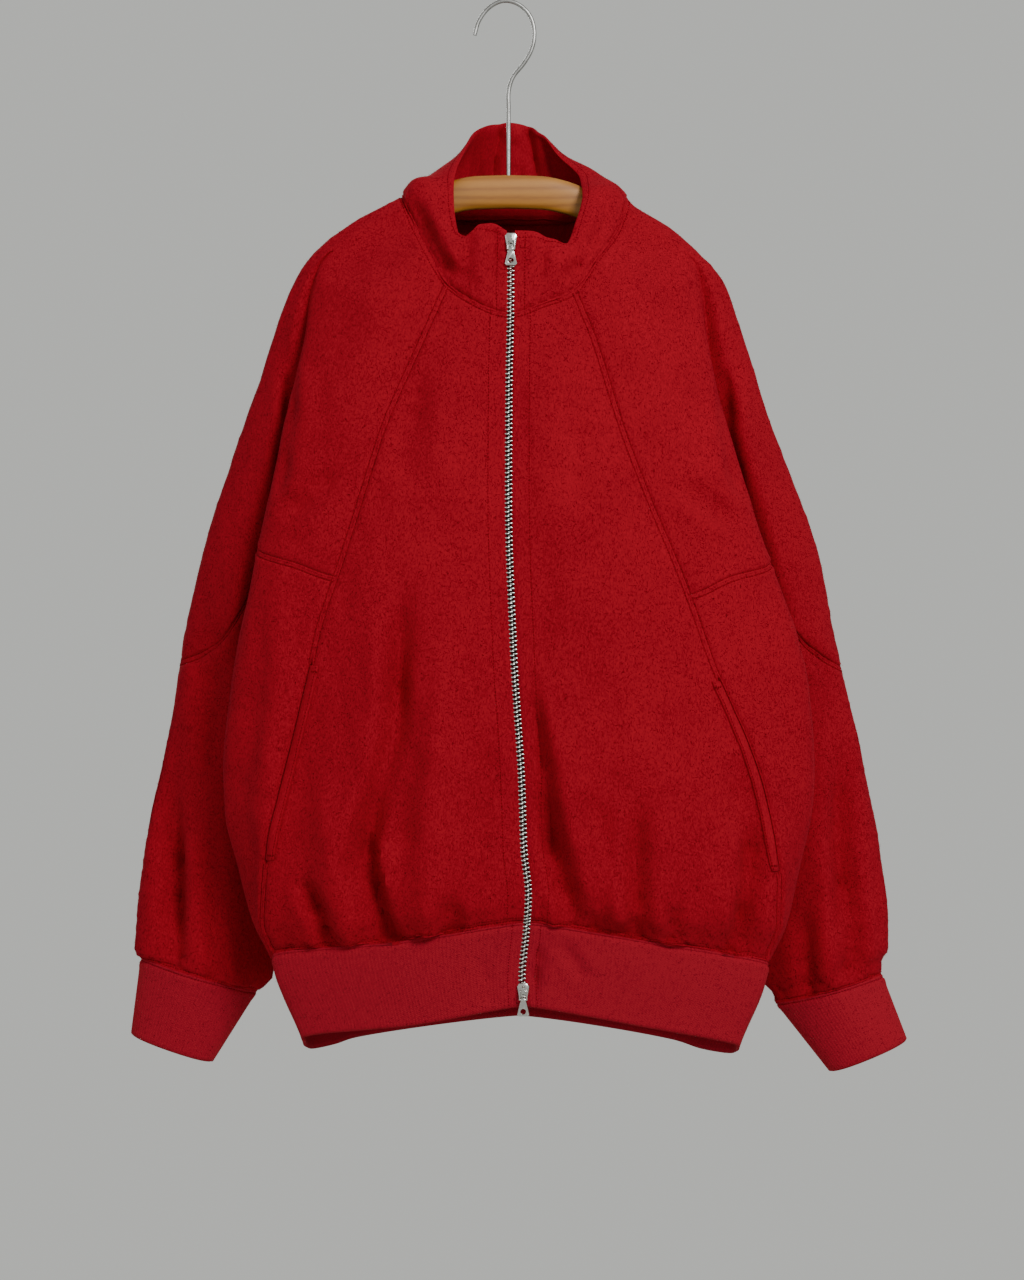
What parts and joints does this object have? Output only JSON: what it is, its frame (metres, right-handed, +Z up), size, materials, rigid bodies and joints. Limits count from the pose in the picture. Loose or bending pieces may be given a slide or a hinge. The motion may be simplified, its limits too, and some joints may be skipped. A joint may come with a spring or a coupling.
{
  "type": "track jacket on a hanger",
  "caption": "Zip-up track jacket in brushed red cloth with a funnel collar, raglan sleeves, slanted pockets and rib hem and cuffs, hanging on a wooden hanger.",
  "frame": {"origin": "inside of the crown of the hanger's hook, where the part hangs", "axes": "+Z up, -Y out of the front of the jacket, +X to the viewer's right seen from the front"},
  "size_m": [0.7089, 0.1854, 0.9707],
  "materials": {
    "fleece": "brushed nap",
    "rib_knit": "fine rib knit",
    "zip": "woven tape with metal teeth",
    "zip_metal": "polished nickel",
    "hanger_wood": "satin varnish",
    "hook_steel": "satin"
  },
  "bodies": {
    "garment": {"front_left": "fleece", "front_right": "fleece", "sleeve_upper_front_left": "fleece", "sleeve_upper_front_right": "fleece", "sleeve_upper_back_left": "fleece", "sleeve_upper_back_right": "fleece", "side_panel_left": "fleece", "side_panel_right": "fleece", "sleeve_lower_front_left": "fleece", "sleeve_lower_front_right": "fleece", "sleeve_lower_back_left": "fleece", "sleeve_lower_back_right": "fleece", "back": "fleece", "pocket_welt_left": "fleece", "pocket_welt_right": "fleece", "collar": "fleece", "hem_rib": "rib_knit", "cuff_left": "rib_knit", "cuff_right": "rib_knit", "zip_tape_left": "zip", "zip_tape_right": "zip", "slider_top": "zip_metal", "slider_bottom": "zip_metal", "hanger_wood": "hanger_wood", "hanger_hook": "hook_steel"},
    "bail_upper": {"bail_top": "zip_metal"},
    "tab_upper": {"tab_top": "zip_metal"},
    "bail_lower": {"bail_bottom": "zip_metal"},
    "tab_lower": {"tab_bottom": "zip_metal"}
  },
  "joints": [
    {"name": "bail_top_swing", "type": "hinge", "parent": "garment", "child": "bail_upper", "pos_m": [0.0063, -0.06393, -0.2231], "axis": [-1, 0, 0], "range_deg": [0, 110]},
    {"name": "tab_top_swing", "type": "hinge", "parent": "bail_upper", "child": "tab_upper", "pos_m": [0.0063, -0.06393, -0.2305], "axis": [-1, 0, 0], "range_deg": [0, 60]},
    {"name": "bail_bottom_swing", "type": "hinge", "parent": "garment", "child": "bail_lower", "pos_m": [0.017, -0.06807, -0.8806], "axis": [-1, 0, 0], "range_deg": [0, 110]},
    {"name": "tab_bottom_swing", "type": "hinge", "parent": "bail_lower", "child": "tab_lower", "pos_m": [0.017, -0.06807, -0.888], "axis": [-1, 0, 0], "range_deg": [0, 60]}
  ]
}
